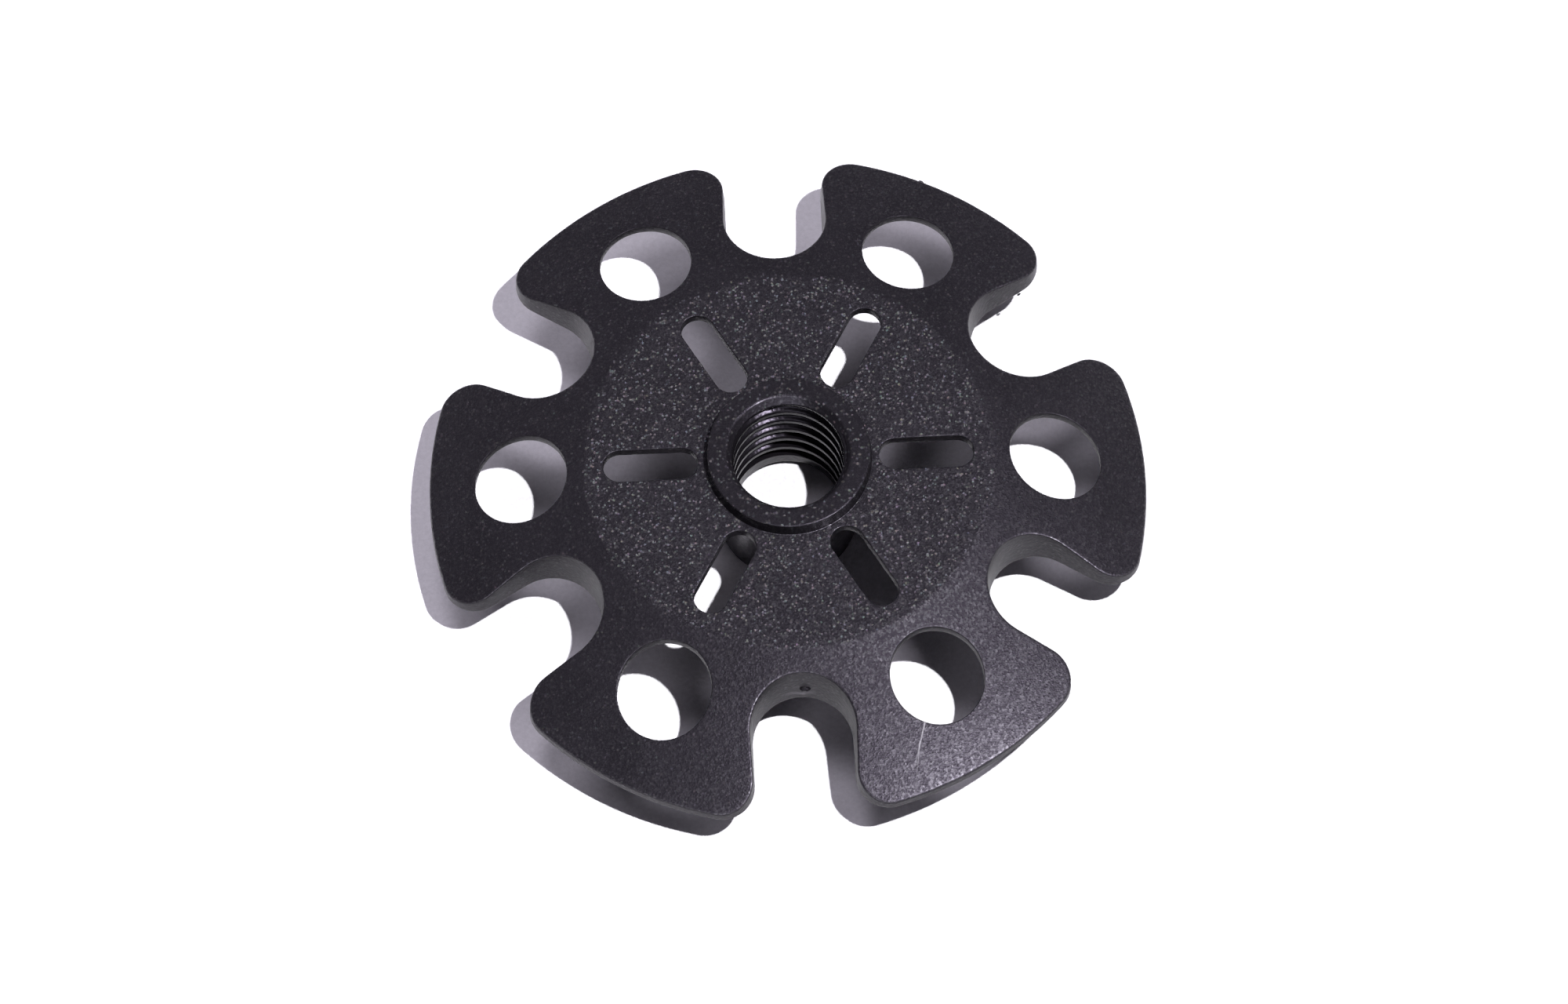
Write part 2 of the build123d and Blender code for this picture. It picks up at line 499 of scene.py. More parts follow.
def opening_section(disc, hub, point, normal):
    """The section of a hole's or slot's wall: (into the wall, height) from top to underside."""

    def top_at(into):
        return top_height(disc, hub, (point + normal * into).length)

    e, t, past = disc.opening_edge, disc.plate_wall, disc.opening_edge + 0.25 * MM
    top = top_at(0.0)
    pairs = [(past, top_at(past))]
    pairs += rounded((e, top_at(e)), (0.0, top), (0.0, top - e), 3)
    pairs.append((0.0, top - t / 2))
    pairs += rounded((0.0, top - t + e), (0.0, top - t), (e, top_at(e) - t), 3)
    pairs.append((past, top_at(past) - t))
    return pairs


# ---------------------------------------------------------------- disc: one lobe's mesh


def inside(point, loop):
    """Whether a flat point lies inside a closed loop of flat points."""
    x, y = point[:2]
    hit = False
    for (x0, y0), (x1, y1) in zip(loop, loop[1:] + loop[:1]):
        if (y0 > y) != (y1 > y) and x < x0 + (y - y0) * (x1 - x0) / (y1 - y0):
            hit = not hit
    return hit


def lobe_arc(disc, radius, steps):
    """Flat points on a circle round the axis, over one lobe's share of it."""
    turn = math.pi / disc.lobes
    angles = [turn - 2 * turn * i / steps for i in range(steps + 1)]
    return [(radius * math.cos(a), radius * math.sin(a)) for a in angles]


def fill_lobe(disc, hub, shape, zone_layer, edge_loop, openings, upper):
    """Fills one lobe's upper face or underside between its outline, its openings and the hub."""
    turn = math.pi / disc.lobes
    drop = 0.0 if upper else disc.plate_wall
    reach = Vector(edge_loop[0]).length - 0.1 * MM
    hub_edge = disc.hub_overlap
    bends = [disc.crease_radius + disc.crease_blend * k for k in (-1, 0, 1)]
    radii = [hub_edge + (bends[0] - hub_edge) * i / 12 for i in range(13)] + bends[1:]
    points, edges = [], []

    def chain(added, closed=False):
        start = len(points)
        points.extend(added)
        edges.extend((start + i, start + i + 1) for i in range(len(added) - 1))
        if closed:
            edges.append((start + len(added) - 1, start))

    side = [(r * math.cos(turn), r * math.sin(turn)) for r in reversed(radii) if r < reach]
    arc = lobe_arc(disc, hub_edge, LOBE_STEPS)
    border = edge_loop + side + arc[1:-1] + [(x, -y) for x, y in reversed(side)]
    chain(border, closed=True)
    for loop in openings:
        chain(loop, closed=True)
    for radius in bends:
        if radius < reach:
            chain(lobe_arc(disc, radius, LOBE_STEPS))

    def solid(spot):
        return inside(spot, border) and not any(inside(spot, opening) for opening in openings)

    fixed = list(points)
    clear = (0.55 * FACE_SPACING) ** 2
    rows = int(disc.rim_diameter / FACE_SPACING)
    for j in range(-rows, rows):
        for i in range(rows):
            x, y = FACE_SPACING * (i + 0.5 * (j % 2)), FACE_SPACING * 0.866 * j
            if abs(y) > x or not solid((x, y)):
                continue
            if min((x - u) ** 2 + (y - v) ** 2 for u, v in fixed) > clear:
                points.append((x, y))
    spots, _, faces, *_ = delaunay_2d_cdt([Vector(p) for p in points], edges, [], 0, 1e-7)
    made = [shape.verts.new((p.x, p.y, top_height(disc, hub, p.length) - drop)) for p in spots]
    for face in faces:
        a, b, c = (spots[k] for k in face)
        thin = abs((b - a).cross(c - a)) < (0.01 * MM) ** 2
        if not thin and solid((a + b + c) / 3):
            order = face if upper else list(reversed(face))
            shape.faces.new([made[k] for k in order])[zone_layer] = GRAINED if upper else SMOOTH


def lobe_mesh(disc, hub):
    """One lobe of the disc, from notch to notch, open only where its neighbours join it."""
    shape = bmesh.new()
    zone_layer = shape.faces.layers.float.new("zone")

    def sweep(points, section, sign, closed, grained_rows):
        rows = []
        for point, normal in points:
            pairs = section(disc, hub, point, normal)
            rows.append([(*(point + normal * sign * k), z) for k, z in pairs])
        grid = [[shape.verts.new(v) for v in row] for row in rows]
        ring = list(zip(grid, grid[1:] + grid[:1])) if closed else list(zip(grid, grid[1:]))
        for here, there in ring:
            for k in range(len(here) - 1):
                face = shape.faces.new((here[k], there[k], there[k + 1], here[k + 1]))
                face[zone_layer] = GRAINED if k < grained_rows else SMOOTH
        return [row[0][:2] for row in rows], [row[-1][:2] for row in rows]

    upper_edge, lower_edge = sweep(outline(disc), skirt_section, -1, False, 4)
    hole_top, hole_foot = sweep(hole_outline(disc), opening_section, 1, True, 2)
    slot_top, slot_foot = sweep(slot_outline(disc), opening_section, 1, True, 2)
    fill_lobe(disc, hub, shape, zone_layer, upper_edge, [hole_top, slot_top], True)
    fill_lobe(disc, hub, shape, zone_layer, lower_edge, [hole_foot, slot_foot], False)
    flat = flat_height(disc, hub)
    column = [
        [shape.verts.new((*spot, z)) for spot in lobe_arc(disc, disc.hub_overlap, LOBE_STEPS)]
        for z in (flat, flat - disc.plate_wall)
    ]
    for i in range(LOBE_STEPS):
        corners = (column[0][i], column[1][i], column[1][i + 1], column[0][i + 1])
        shape.faces.new(corners)[zone_layer] = SMOOTH
    bmesh.ops.remove_doubles(shape, verts=shape.verts, dist=WELD)
    mesh = bpy.data.meshes.new("lobe")
    shape.to_mesh(mesh)
    shape.free()
    return mesh


def round_tree():
    """A geometry tree that repeats its mesh round the Z axis and welds the copies together."""
    tree, given, result = geometry_tree("repeat_round_axis", {"Copies": "Int", "Weld": "Float"})
    points = place(tree, "GeometryNodePoints", {"Count": given.outputs["Copies"]})
    index = tree.nodes.new("GeometryNodeInputIndex").outputs[0]
    step = maths(tree, "DIVIDE", 2 * math.pi, given.outputs["Copies"])
    spin = place(tree, "ShaderNodeCombineXYZ", {"Z": maths(tree, "MULTIPLY", index, step)})
    turned = place(tree, "FunctionNodeEulerToRotation", {0: spin.outputs[0]}).outputs[0]
    copies = place(
        tree,
        "GeometryNodeInstanceOnPoints",
        {"Points": points.outputs[0], "Instance": given.outputs["Geometry"], "Rotation": turned},
    )
    real = place(tree, "GeometryNodeRealizeInstances", {0: copies.outputs[0]})
    weld = {"Geometry": real.outputs[0], "Distance": given.outputs["Weld"]}
    welded = place(tree, "GeometryNodeMergeByDistance", weld)
    tree.links.new(set_zone_materials(tree, welded.outputs[0], given), result.inputs[0])
    return tree


def spring_lobes(disc, obj):
    """Bends each lobe up or down a little, as a moulding that cooled unevenly."""
    reach = disc.rim_diameter / 2 - SPRING_START
    for vertex in obj.data.vertices:
        radius = math.hypot(vertex.co.x, vertex.co.y)
        if radius <= SPRING_START:
            continue
        turn = math.atan2(vertex.co.y, vertex.co.x) / (2 * math.pi) * disc.lobes
        lobe = round(turn)
        from_notch = radius * math.sin((0.5 - abs(turn - lobe)) * 2 * math.pi / disc.lobes)
        t = min(1.0, max(0.0, from_notch / (5 * MM)))
        weight = ((radius - SPRING_START) / reach) ** 1.2 * t * t * (3 - 2 * t)
        vertex.co.z += LOBE_SPRING[lobe % disc.lobes % len(LOBE_SPRING)] * weight


class BASKET_OT_disc(bpy.types.Operator):
    """Adds the disc: six lobes with their skirt, holes and slots"""

    bl_idname = "basket.disc"
    bl_label = "Disc"

    def execute(self, context):
        disc, hub = context.scene.basket_disc, context.scene.basket_hub
        obj = add_object("basket_disc", lobe_mesh(disc, hub))
        values = {"Copies": disc.lobes, "Weld": WELD * 2}
        run_tree(obj, round_tree(), values | zone_materials(context.scene, smooth_plastic))
        close_up(obj)
        spring_lobes(disc, obj)
        finish_piece(obj, stands_for_node=True)
        return {"FINISHED"}


# ---------------------------------------------------------------- hub


def hub_profile(disc, hub):
    """The hub's section as (radius, height, zone, thread), once round from the foot to the bore."""
    flat = flat_height(disc, hub)
    under = flat - disc.plate_wall
    profile = []

    def go(pairs, zone, thread=0.0):
        profile.extend((r, z, zone, thread) for r, z in pairs)

    # Lower end and sleeve
    foot, low = hub.sleeve_foot, hub.foot_mouth_radius
    go([(low + 0.1 * MM, 0.0), ((foot + low) / 2, 0.0)], SMOOTH)
    go(rounded((foot - 0.2 * MM, 0.0), (foot, 0.0), (foot + 0.006 * MM, 0.2 * MM), 3), SMOOTH)
    flare = (hub.sleeve_top - foot) / flat
    root = under - 0.5 * MM
    go([(foot + flare * root * i / 8, root * i / 8) for i in range(1, 8)], SMOOTH)
    neck = foot + flare * root
    meets_disc = (neck + 0.6 * MM, under + 0.02 * MM)
    go(rounded((neck, root), (neck, under + 0.01 * MM), meets_disc, 4), SMOOTH)
    go([(neck + 0.62 * MM, flat - 0.4 * MM)], SMOOTH)

    # Ring
    ring, top, edge = hub.ring_radius, hub.height, hub.ring_edge
    go([(ring + 0.3 * MM, flat - 0.05 * MM)], GRAINED)
    go(rounded((ring + 0.07 * MM, flat), (ring, flat), (ring, flat + 0.07 * MM), 2), GRAINED)
    rim = ring - hub.ring_lean
    wall = top - edge - 0.02 * MM
    halfway = (ring - hub.ring_lean * 0.5, (flat + wall) / 2)
    go([(ring - 0.01 * MM, flat + 0.1 * MM), halfway, (rim, wall)], GLOSSY)
    go(rounded((rim, top - edge), (rim, top), (rim - edge, top), 6), SMOOTH)
    mouth = hub.mouth_radius
    go([(rim - edge - 0.15 * MM, top), ((ring + mouth) / 2, top), (mouth + 0.45 * MM, top)], SMOOTH)

    # Countersink, which the thread runs out through
    cone_r, cone_z = mouth - 0.15 * MM, top - 0.14 * MM
    go(rounded((mouth + 0.18 * MM, top), (mouth - 0.02 * MM, top), (cone_r, cone_z), 5), SMOOTH)
    steps = range(2, 13)
    go([(cone_r - 0.05 * MM * i, cone_z - 0.062 * MM * i) for i in steps], SMOOTH, 1.0)
    crest = hub.crest_radius
    bore_top, bore_foot = top - 1.15 * MM, 1.25 * MM
    go([(crest + 0.06 * MM, top - 0.98 * MM), (crest, bore_top)], SMOOTH, 1.0)

    # Bore and lower countersink
    fall = (bore_foot - bore_top) / BORE_STEPS
    go([(crest, bore_top + fall * i) for i in range(1, BORE_STEPS + 1)], GLOSSY, 1.0)
    go([(crest + 0.08 * MM, 1.05 * MM), (low - 0.12 * MM, 0.25 * MM)], SMOOTH)
    go([(low, 0.08 * MM), (low + 0.1 * MM, 0.0)], SMOOTH)
    return profile + profile[:1]


def profile_mesh(profile):
    """The section as loose points, in order, with their zone and thread values."""
    mesh = bpy.data.meshes.new("hub_profile")
    mesh.from_pydata([(r, 0.0, z) for r, z, _, _ in profile], [], [])
    for k, label in ((2, "zone"), (3, "thread")):
        layer = mesh.attributes.new(label, "FLOAT", "POINT")
        layer.data.foreach_set("value", [row[k] for row in profile])
    return mesh


def lathe_tree(rows):
    """A geometry tree that turns a section round the Z axis and winds a groove down its bore."""
    labels = ("Crest", "Pitch", "Depth", "First Groove", "Groove Top", "Run-out", "Weld")
    tree, given, result = geometry_tree("threaded_lathe", dict.fromkeys(labels, "Float"))
    value = given.outputs
    grid = place(
        tree,
        "GeometryNodeMeshGrid",
        {"Size X": 1.0, "Size Y": 1.0, "Vertices X": LATHE_STEPS + 1, "Vertices Y": rows},
    )
    position = tree.nodes.new("GeometryNodeInputPosition").outputs[0]
    across, along, _ = place(tree, "ShaderNodeSeparateXYZ", {0: position}).outputs
    round_share = maths(tree, "ADD", across, 0.5)
    row = maths(tree, "MULTIPLY", maths(tree, "ADD", along, 0.5), rows - 1)
    row = maths(tree, "ROUND", row)

    def sample(field, data_type):
        """The section's own value of a field at this row."""
        return place(
            tree,
            "GeometryNodeSampleIndex",
            {"Geometry": value["Geometry"], "Value": field, "Index": row},
            data_type=data_type,
            domain="POINT",
        ).outputs[0]

    spot = sample(position, "FLOAT_VECTOR")
    radius, _, height = place(tree, "ShaderNodeSeparateXYZ", {0: spot}).outputs
    zone, thread = (sample(named_float(tree, name), "FLOAT") for name in ("zone", "thread"))

    # The groove's depth: one wave per pitch along the height, shifted by the angle
    turns = maths(tree, "SUBTRACT", height, value["First Groove"])
    turns = maths(tree, "DIVIDE", turns, value["Pitch"])
    phase = maths(tree, "MULTIPLY", maths(tree, "SUBTRACT", turns, round_share), 2 * math.pi)
    wave = maths(tree, "COSINE", phase)
    shaped = ramp(tree, wave, -0.75, 0.6, 0.0, 1.0, interpolation_type="SMOOTHSTEP")

    # It runs out at both ends
    to_top = maths(tree, "SUBTRACT", value["Groove Top"], height)
    to_top = maths(tree, "DIVIDE", to_top, value["Run-out"], clamp=True)
    thread_foot = maths(tree, "SUBTRACT", value["First Groove"], value["Run-out"])
    from_foot = maths(tree, "SUBTRACT", height, thread_foot)
    from_foot = maths(tree, "DIVIDE", from_foot, value["Run-out"], clamp=True)
    faded = maths(tree, "MULTIPLY", shaped, maths(tree, "MULTIPLY", to_top, from_foot))
    groove = maths(tree, "MULTIPLY_ADD", faded, value["Depth"], value["Crest"])
    out = maths(tree, "MAXIMUM", radius, maths(tree, "MULTIPLY", groove, thread))

    turn = maths(tree, "MULTIPLY", round_share, 2 * math.pi)
    x = maths(tree, "MULTIPLY", out, maths(tree, "COSINE", turn))
    y = maths(tree, "MULTIPLY", out, maths(tree, "SINE", turn))
    target = place(tree, "ShaderNodeCombineXYZ", {"X": x, "Y": y, "Z": height}).outputs[0]
    stored = place(
        tree,
        "GeometryNodeStoreNamedAttribute",
        {"Geometry": grid.outputs[0], "Name": "zone", "Value": zone},
        data_type="FLOAT",
        domain="POINT",
    )
    moved = {"Geometry": stored.outputs[0], "Position": target}
    turned = place(tree, "GeometryNodeSetPosition", moved)
    weld = {"Geometry": turned.outputs[0], "Distance": value["Weld"]}
    welded = place(tree, "GeometryNodeMergeByDistance", weld)
    real = place(tree, "GeometryNodeRealizeInstances", {0: welded.outputs[0]})
    tree.links.new(set_zone_materials(tree, real.outputs[0], given), result.inputs[0])
    return tree


class BASKET_OT_hub(bpy.types.Operator):
    """Adds the hub: ring, sleeve and threaded bore"""

    bl_idname = "basket.hub"
    bl_label = "Threaded Hub"

    def execute(self, context):
        disc, hub = context.scene.basket_disc, context.scene.basket_hub
        profile = hub_profile(disc, hub)
        obj = add_object("threaded_hub", profile_mesh(profile))
        values = {
            "Crest": hub.crest_radius,
            "Pitch": hub.thread_pitch,
            "Depth": hub.thread_depth,
            "First Groove": hub.thread_start,
            "Groove Top": hub.thread_top,
            "Run-out": hub.thread_pitch * 0.3,
            "Weld": WELD,
        }
        materials = zone_materials(context.scene, hub_plastic)
        run_tree(obj, lathe_tree(len(profile)), values | materials)
        close_up(obj)
        finish_piece(obj, stands_for_node=True)
        return {"FINISHED"}


class BASKET_OT_marks(bpy.types.Operator):
    """Adds the cut-off gate and the small burrs that moulding left"""

    bl_idname = "basket.marks"
    bl_label = "Mould Marks"

    def execute(self, context):
        shape = bmesh.new()
        for centre, (long, deep, high), turn in MOULD_MARKS:
            lump = bmesh.ops.create_icosphere(shape, subdivisions=3, radius=0.5)["verts"]
            for vert in lump:
                x, y, z = vert.co
                coarse = 0.12 * math.sin(13 * x + 2) * math.cos(11 * z + 5 * y)
                vert.co *= 1.0 + coarse + 0.06 * math.sin(29 * z + 17 * x)
            stretch = Matrix.Diagonal((long * MM, deep * MM, high * MM, 1.0))
            lean = Matrix.Rotation(math.radians(turn), 4, "Z")
            move = Matrix.Translation(centre) @ lean @ stretch
            bmesh.ops.transform(shape, matrix=move, verts=lump)
        mesh = bpy.data.meshes.new("mould_marks")
        shape.to_mesh(mesh)
        shape.free()
        mesh.materials.append(smooth_plastic(context.scene))
        obj = add_object("mould_marks", mesh)
        close_up(obj)
        finish_piece(obj)
        return {"FINISHED"}


# ---------------------------------------------------------------- materials


def effect_group(name, inputs, outputs):
    """A shader group with named inputs and outputs, made once, and its ends while it is new."""
    found = bpy.data.node_groups.get(name)
    if found:
        return found, None, None
    tree = bpy.data.node_groups.new(name, "ShaderNodeTree")
    for label, (kind, default) in inputs.items():
        socket = tree.interface.new_socket(label, in_out="INPUT", socket_type=f"NodeSocket{kind}")
        if default is not None:
            socket.default_value = default
    for label, kind in outputs.items():
        tree.interface.new_socket(label, in_out="OUTPUT", socket_type=f"NodeSocket{kind}")
    return tree, tree.nodes.new("NodeGroupInput"), tree.nodes.new("NodeGroupOutput")


def spark_grain():
    """Grain that spark erosion leaves in a mould: a height, sparse bright flecks and a cloud."""
    tree, given, result = effect_group(
        "spark_grain",
        {"Vector": ("Vector", None), "Density": ("Float", 4000.0), "Fleck Share": ("Float", 0.1)},
        dict.fromkeys(("Height", "Flecks", "Glitter", "Cloud"), "Float") | {"Fleck Hue": "Color"},
    )
    if given is None:
        return tree
    at, density = given.outputs["Vector"], given.outputs["Density"]
    coarse = noise(tree, at, maths(tree, "MULTIPLY", density, 0.7), 2.0, 0.65)
    cells = place(tree, "ShaderNodeTexVoronoi", {"Vector": at, "Scale": density}).outputs
    pits = maths(tree, "MULTIPLY", cells["Distance"], 0.5)
    pick = place(tree, "ShaderNodeSeparateColor", {0: cells["Color"]}).outputs
    steep = maths(tree, "DIVIDE", 1.0, given.outputs["Fleck Share"])
    lit = maths(tree, "POWER", pick[0], steep)
    past = maths(tree, "MULTIPLY", cells["Distance"], 1.8)
    near = maths(tree, "SUBTRACT", 1.5, past, clamp=True)
    patchy = ramp(tree, coarse[0], 0.35, 0.7, 0.2, 1.0)
    cloud = noise(tree, at, maths(tree, "MULTIPLY", density, 0.035), 3.0, 0.55)
    made = {
        "Height": maths(tree, "ADD", coarse[0], pits),
        "Flecks": maths(tree, "MULTIPLY", lit, near),
        "Glitter": maths(tree, "MULTIPLY", maths(tree, "MULTIPLY", pick[1], pick[1]), patchy),
        "Fleck Hue": coarse["Color"],
        "Cloud": cloud[0],
    }
    for name, socket in made.items():
        tree.links.new(socket, result.inputs[name])
    return tree


def fine_line():
    """A straight fine mark: 1 along its line, 0 away from it, fading from its start to its end."""
    tree, given, result = effect_group(
        "fine_line",
        {
            "Vector": ("Vector", None),
            "Start": ("Vector", (0.0, 0.0, 0.0)),
            "Reach": ("Vector", (0.001, 0.0, 0.0)),
            "Width": ("Float", 0.0001),
        },
        {"Line": "Float"},
    )
    if given is None:
        return tree
    at, start, reach, width = (given.outputs[k] for k in ("Vector", "Start", "Reach", "Width"))
    level = vectors(tree, "MULTIPLY", {0: at, 1: FROM_ABOVE}).outputs[0]
    offset = vectors(tree, "SUBTRACT", {0: level, 1: start}).outputs[0]
    run = vectors(tree, "DOT_PRODUCT", {0: offset, 1: reach}).outputs["Value"]
    whole = vectors(tree, "DOT_PRODUCT", {0: reach, 1: reach}).outputs["Value"]
    part = maths(tree, "DIVIDE", run, whole, clamp=True)
    foot = vectors(tree, "SCALE", {0: reach, "Scale": part}).outputs[0]
    away = vectors(tree, "DISTANCE", {0: offset, 1: foot}).outputs["Value"]
    line = ramp(tree, away, maths(tree, "MULTIPLY", width, 0.35), width, 1.0, 0.0)
    fading = maths(tree, "MULTIPLY", line, ramp(tree, part, 0.0, 1.0, 1.0, 0.25))
    tree.links.new(fading, result.inputs["Line"])
    return tree


def new_material(name):
    """A material with a Principled shader alone, and its tree, shader and Object coordinates."""
    material = bpy.data.materials.new(name)
    material.use_nodes = True
    tree = material.node_tree
    tree.nodes.clear()
    shader = tree.nodes.new("ShaderNodeBsdfPrincipled")
    place(tree, "ShaderNodeOutputMaterial", {0: shader.outputs[0]})
    return material, tree, shader, tree.nodes.new("ShaderNodeTexCoord").outputs["Object"]


def mix_colour(tree, factor, first, second):
    made = place(tree, "ShaderNodeMix", data_type="RGBA")
    for socket, value in ((0, factor), (6, first), (7, second)):
        if isinstance(value, bpy.types.NodeSocket):
            tree.links.new(value, made.inputs[socket])
        else:
            made.inputs[socket].default_value = value
    return made.outputs[2]


def draw_lines(tree, at, lines, tone, colour, only=1.0):
    """The colour with pale lines over it, where the mask called only allows them."""
    for start, end, width, paleness in lines:
        start, end = Vector((*start, 0.0)), Vector((*end, 0.0))
        values = {"Vector": at, "Start": start, "Reach": end - start, "Width": width}
        line = place(tree, "ShaderNodeGroup", values, node_tree=fine_line()).outputs[0]
        mark = maths(tree, "MULTIPLY", maths(tree, "MULTIPLY", line, paleness), only)
        colour = mix_colour(tree, mark, colour, tone)
    return colour


def scratched(tree, at, colour):
    """The colour with the scratches on the upper face."""
    return draw_lines(tree, at, SCRATCHES, SCRATCH_COLOUR, colour)


def gate_smeared(tree, at, colour):
    """The colour with the smears round the gate, on the wall in front."""
    x, y, z = place(tree, "ShaderNodeSeparateXYZ", {0: at}).outputs
    upright = place(tree, "ShaderNodeCombineXYZ", {"X": x, "Y": z}).outputs[0]
    in_front = maths(tree, "LESS_THAN", y, GATE_WALL)
    return draw_lines(tree, upright, GATE_SMEARS, SMEAR_COLOUR, colour, in_front)


def flat_mask(tree, at, disc):
    """1 on the flat of the disc, little on the dome."""
    level = vectors(tree, "MULTIPLY", {0: at, 1: FROM_ABOVE}).outputs[0]
    radius = vectors(tree, "LENGTH", {0: level}).outputs["Value"]
    crease, blend = disc.crease_radius, disc.crease_blend
    return ramp(tree, radius, crease - blend, crease + blend, 1.0, 0.12)


def plastic(scene, name, rough, values, flat=None, wear=None):
    """Black plastic: body colour, cloudiness, grain, and flecks that mirror the lights.

    The values are times the finish's grain size and depth, how much of the flecks and of the
    glitter shows, how much the body mirrors, and times the body colour. The mask called flat
    holds the flecks back on the dome, and wear draws marks over the colour.
    """
    grain, depth, flecks, glitter, mirror, tone = values
    found = bpy.data.materials.get(name)
    if found:
        return found
    finish = scene.basket_finish
    material, tree, shader, at = new_material(name)
    density = 1.0 / (finish.grain_size * grain)
    values = {"Vector": at, "Density": density, "Fleck Share": finish.fleck_share}
    effect = place(tree, "ShaderNodeGroup", values, node_tree=spark_grain()).outputs
    fleck = maths(tree, "MULTIPLY", effect["Flecks"], flecks)
    shine = maths(tree, "MULTIPLY", effect["Glitter"], glitter)
    if flat:
        on_flat = flat(tree, at, scene.basket_disc)
        fleck = maths(tree, "MULTIPLY", fleck, on_flat)
        more = maths(tree, "MULTIPLY_ADD", on_flat, 0.6, 0.85)
        shine = maths(tree, "MULTIPLY", shine, more, clamp=True)
    body = [c * tone for c in finish.plastic]
    pale = [c * 1.4 for c in body]
    cloudy = mix_colour(tree, effect["Cloud"], (*body, 1.0), (*pale, 1.0))
    spark = mix_colour(tree, 0.4, (*finish.fleck, 1.0), effect["Fleck Hue"])
    colour = mix_colour(tree, fleck, cloudy, spark)
    if wear:
        colour = wear(tree, at, colour)
    bump = {"Strength": 1.0, "Distance": finish.grain_depth * depth, "Height": effect["Height"]}
    links = {
        "Base Color": colour,
        "Metallic": fleck,
        "Coat Weight": shine,
        "Roughness": ramp(tree, effect["Cloud"], 0.3, 0.7, rough - 0.03, rough + 0.04),
        "Normal": place(tree, "ShaderNodeBump", bump).outputs[0],
    }
    for label, socket in links.items():
        tree.links.new(socket, shader.inputs[label])
    constants = {
        "Coat Roughness": rough * 0.9,
        "Coat IOR": 2.5,
        "IOR": 1.5,
        "Specular IOR Level": mirror,
        "Specular Tint": (0.95, 0.88, 1.0, 1.0),
    }
    for label, value in constants.items():
        shader.inputs[label].default_value = value
    return material


def grained_plastic(scene):
    """Disc and dome: spark-eroded grain with flecks."""
    rough, values = scene.basket_finish.grained_roughness, (1.0, 1.0, 0.8, 0.75, 0.43, 0.95)
    return plastic(scene, "grained_plastic", rough, values, flat=flat_mask, wear=scratched)


def smooth_plastic(scene):
    """Skirt and the walls of notches, holes and slots: nearly plain."""
    rough, values = scene.basket_finish.smooth_roughness, (1.4, 0.5, 0.12, 0.1, 0.15, 0.9)
    return plastic(scene, "smooth_plastic", rough, values, wear=gate_smeared)


def hub_plastic(scene):
    """Ring, countersinks and sleeve: nearly plain, with a little more shine."""
    rough, values = scene.basket_finish.smooth_roughness, (1.2, 0.5, 0.35, 0.35, 0.42, 0.85)
    return plastic(scene, "hub_plastic", rough, values)


def glossy_plastic(scene):
    """Thread and the ring's outer wall: polished, a little uneven."""
    rough, values = scene.basket_finish.glossy_roughness, (2.0, 0.525, 0.0, 0.0, 0.19, 0.6)
    return plastic(scene, "glossy_plastic", rough, values)


def zone_materials(scene, smooth):
    """Each zone's material. The smooth zone's is made by the function given."""
    return dict(zip(ZONE_NAMES, (grained_plastic(scene), smooth(scene), glossy_plastic(scene))))


def floor_material(studio):
    """Pale paper with a fine tooth."""
    material, tree, shader, at = new_material("studio_floor")
    tooth = noise(tree, at, 1700.0, 4.0, 0.7)[0]
    tone = ramp(tree, tooth, 0.3, 0.7, 0.87, 1.02)
    shade = mix_colour(tree, tone, (0.0, 0.0, 0.0, 1.0), (*studio.floor, 1.0))
    tree.links.new(shade, shader.inputs["Base Color"])
    bump = place(tree, "ShaderNodeBump", {"Strength": 0.6, "Distance": 0.0001, "Height": tooth})
    tree.links.new(bump.outputs[0], shader.inputs["Normal"])
    shader.inputs["Roughness"].default_value = 0.9
    shader.inputs["Specular IOR Level"].default_value = 0.0
    return material


# ---------------------------------------------------------------- studio


def aimed_light(name, kind, watts, location, **settings):
    """A light that faces the middle of the object."""
    data = bpy.data.lights.new(name, kind)
    data.energy = watts
    for key, value in settings.items():
        setattr(data, key, value)
    obj = add_object(name, data)
    obj.location = location
    obj.rotation_mode = "QUATERNION"
    obj.rotation_quaternion = (LIGHT_AIM - Vector(location)).to_track_quat("-Z", "Y")
    return obj


def panel(across, high, colour):
    """The settings of a rectangular soft light."""
    return {"shape": "RECTANGLE", "size": across, "size_y": high, "color": colour}


def add_floor(studio):
    mesh = bpy.data.meshes.new("studio_floor")
    far = FLOOR_REACH
    corners = [(-far, -far, 0.0), (far, -far, 0.0), (far, far, 0.0), (-far, far, 0.0)]
    mesh.from_pydata(corners, [], [(0, 1, 2, 3)])
    mesh.materials.append(floor_material(studio))
    add_object("studio_floor", mesh)


def add_lights(studio):
    """A small key for the shadows, soft fills, and lights that only the gloss shows."""
    key = aimed_light("key", "POINT", studio.key_power, KEY_PLACE, shadow_soft_size=0.006)
    key.visible_glossy = False
    for name, tilt, turn, distance in MIRRORED:
        tilt, turn = math.radians(tilt), math.radians(turn)
        across = math.sin(tilt)
        ray = Vector((across * math.cos(turn), across * math.sin(turn), math.cos(tilt)))
        watts = getattr(studio, f"{name}_power")
        soft = {"shadow_soft_size": 0.02, "color": (1.0, 0.95, 1.1)}
        mirrored = aimed_light(name, "POINT", watts, LIGHT_AIM + ray * distance, **soft)
        mirrored.visible_diffuse = False
    for name, location, across, high in FILLS:
        watts = studio.fill_power / len(FILLS)
        shape = panel(across, high, (1.0, 0.95, 1.06))
        aimed_light(name, "AREA", watts, location, **shape).visible_glossy = False
    front = panel(0.5, 0.3, (0.97, 0.96, 1.1))
    glow = aimed_light("glow", "AREA", studio.glow_power, GLOW_PLACE, **front)
    glow.visible_diffuse = False


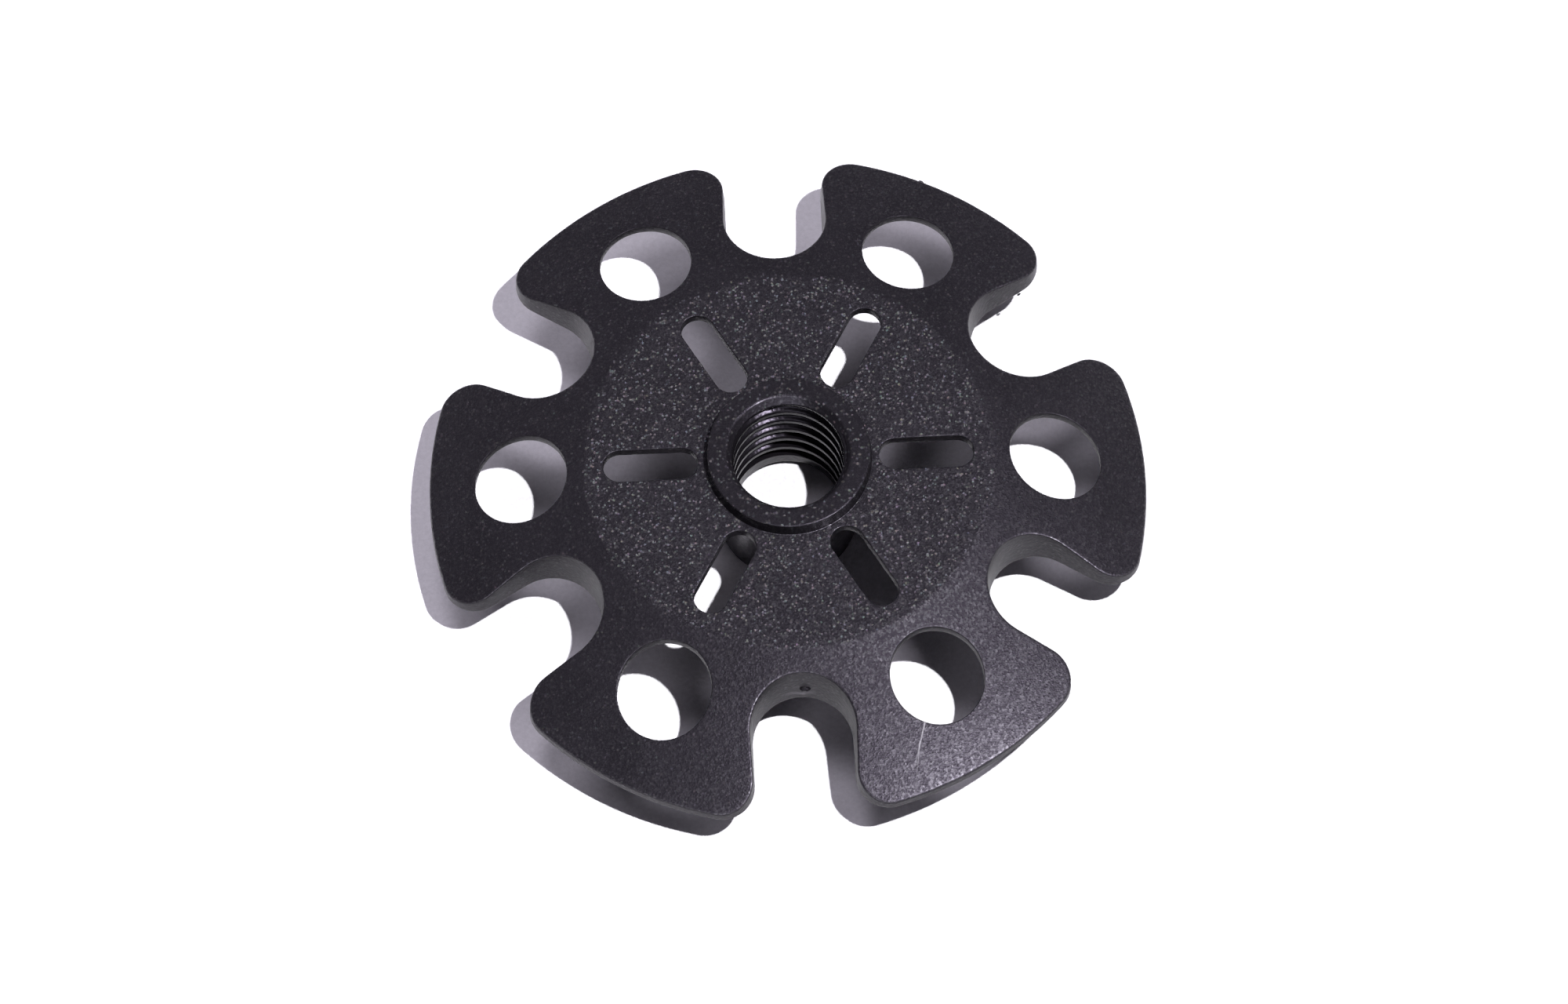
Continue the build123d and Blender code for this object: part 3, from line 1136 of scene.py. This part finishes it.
def add_sky(scene):
    """A dim sky that lights the object, with a pale backdrop for the camera."""
    world = bpy.data.worlds.new("studio")
    world.use_nodes = True
    tree = world.node_tree
    tree.nodes.clear()
    seen = place(tree, "ShaderNodeLightPath").outputs["Is Camera Ray"]
    shade = mix_colour(tree, seen, SKY, BACKDROP)
    sky = place(tree, "ShaderNodeBackground", {"Color": shade, "Strength": 1.0})
    place(tree, "ShaderNodeOutputWorld", {0: sky.outputs[0]})
    scene.world = world
    scene.view_settings.view_transform = "Standard"


def add_camera(scene, studio):
    data = bpy.data.cameras.new("camera")
    data.lens = studio.lens
    data.sensor_width = SENSOR_WIDTH
    data.clip_start = NEAR_CLIP
    camera = add_object("camera", data)
    a, e = studio.azimuth, studio.elevation
    back = Vector((math.sin(a) * math.cos(e), -math.cos(a) * math.cos(e), math.sin(e)))
    right = Vector((math.cos(a), math.sin(a), 0.0))
    above = back.cross(right)
    c, s = math.cos(studio.roll), math.sin(studio.roll)
    columns = Matrix((right * c + above * s, above * c - right * s, back)).transposed()
    target = Matrix.Rotation(a, 3, "Z") @ CAMERA_AIM
    place_at = Matrix.Translation(target + back * studio.distance)
    camera.matrix_world = place_at @ columns.to_4x4()
    scene.camera = camera


class BASKET_OT_studio(bpy.types.Operator):
    """Adds the pale floor, the lights and the camera"""

    bl_idname = "basket.studio"
    bl_label = "Studio"

    def execute(self, context):
        studio = context.scene.basket_studio
        add_floor(studio)
        add_lights(studio)
        add_sky(context.scene)
        add_camera(context.scene, studio)
        return {"FINISHED"}


# ---------------------------------------------------------------- add-on


class BASKET_PT_panel(bpy.types.Panel):
    """Lists the basket's pieces and their sizes"""

    bl_idname = "BASKET_PT_panel"
    bl_label = "Snow Basket"
    bl_space_type = "VIEW_3D"
    bl_region_type = "UI"
    bl_category = "Snow Basket"

    def draw(self, context):
        for operator in OPERATORS:
            self.layout.operator(operator.bl_idname)
        for label, group in SETTINGS.items():
            box = self.layout.box()
            settings = getattr(context.scene, label)
            for name in group.__annotations__:
                box.prop(settings, name)


SETTINGS = {
    "basket_disc": BasketDiscSizes,
    "basket_hub": BasketHubSizes,
    "basket_finish": BasketFinish,
    "basket_studio": BasketStudio,
}
OPERATORS = (BASKET_OT_disc, BASKET_OT_hub, BASKET_OT_marks, BASKET_OT_studio)


def register():
    for label, group in SETTINGS.items():
        bpy.utils.register_class(group)
        setattr(bpy.types.Scene, label, bpy.props.PointerProperty(type=group))
    for made in (*OPERATORS, BASKET_PT_panel):
        bpy.utils.register_class(made)


def unregister():
    for made in (BASKET_PT_panel, *reversed(OPERATORS)):
        bpy.utils.unregister_class(made)
    for label, group in reversed(SETTINGS.items()):
        delattr(bpy.types.Scene, label)
        bpy.utils.unregister_class(group)


def main():
    register()
    bpy.ops.basket.disc()
    bpy.ops.basket.hub()
    bpy.ops.basket.marks()
    bpy.ops.basket.studio()


if __name__ == "__main__":
    main()
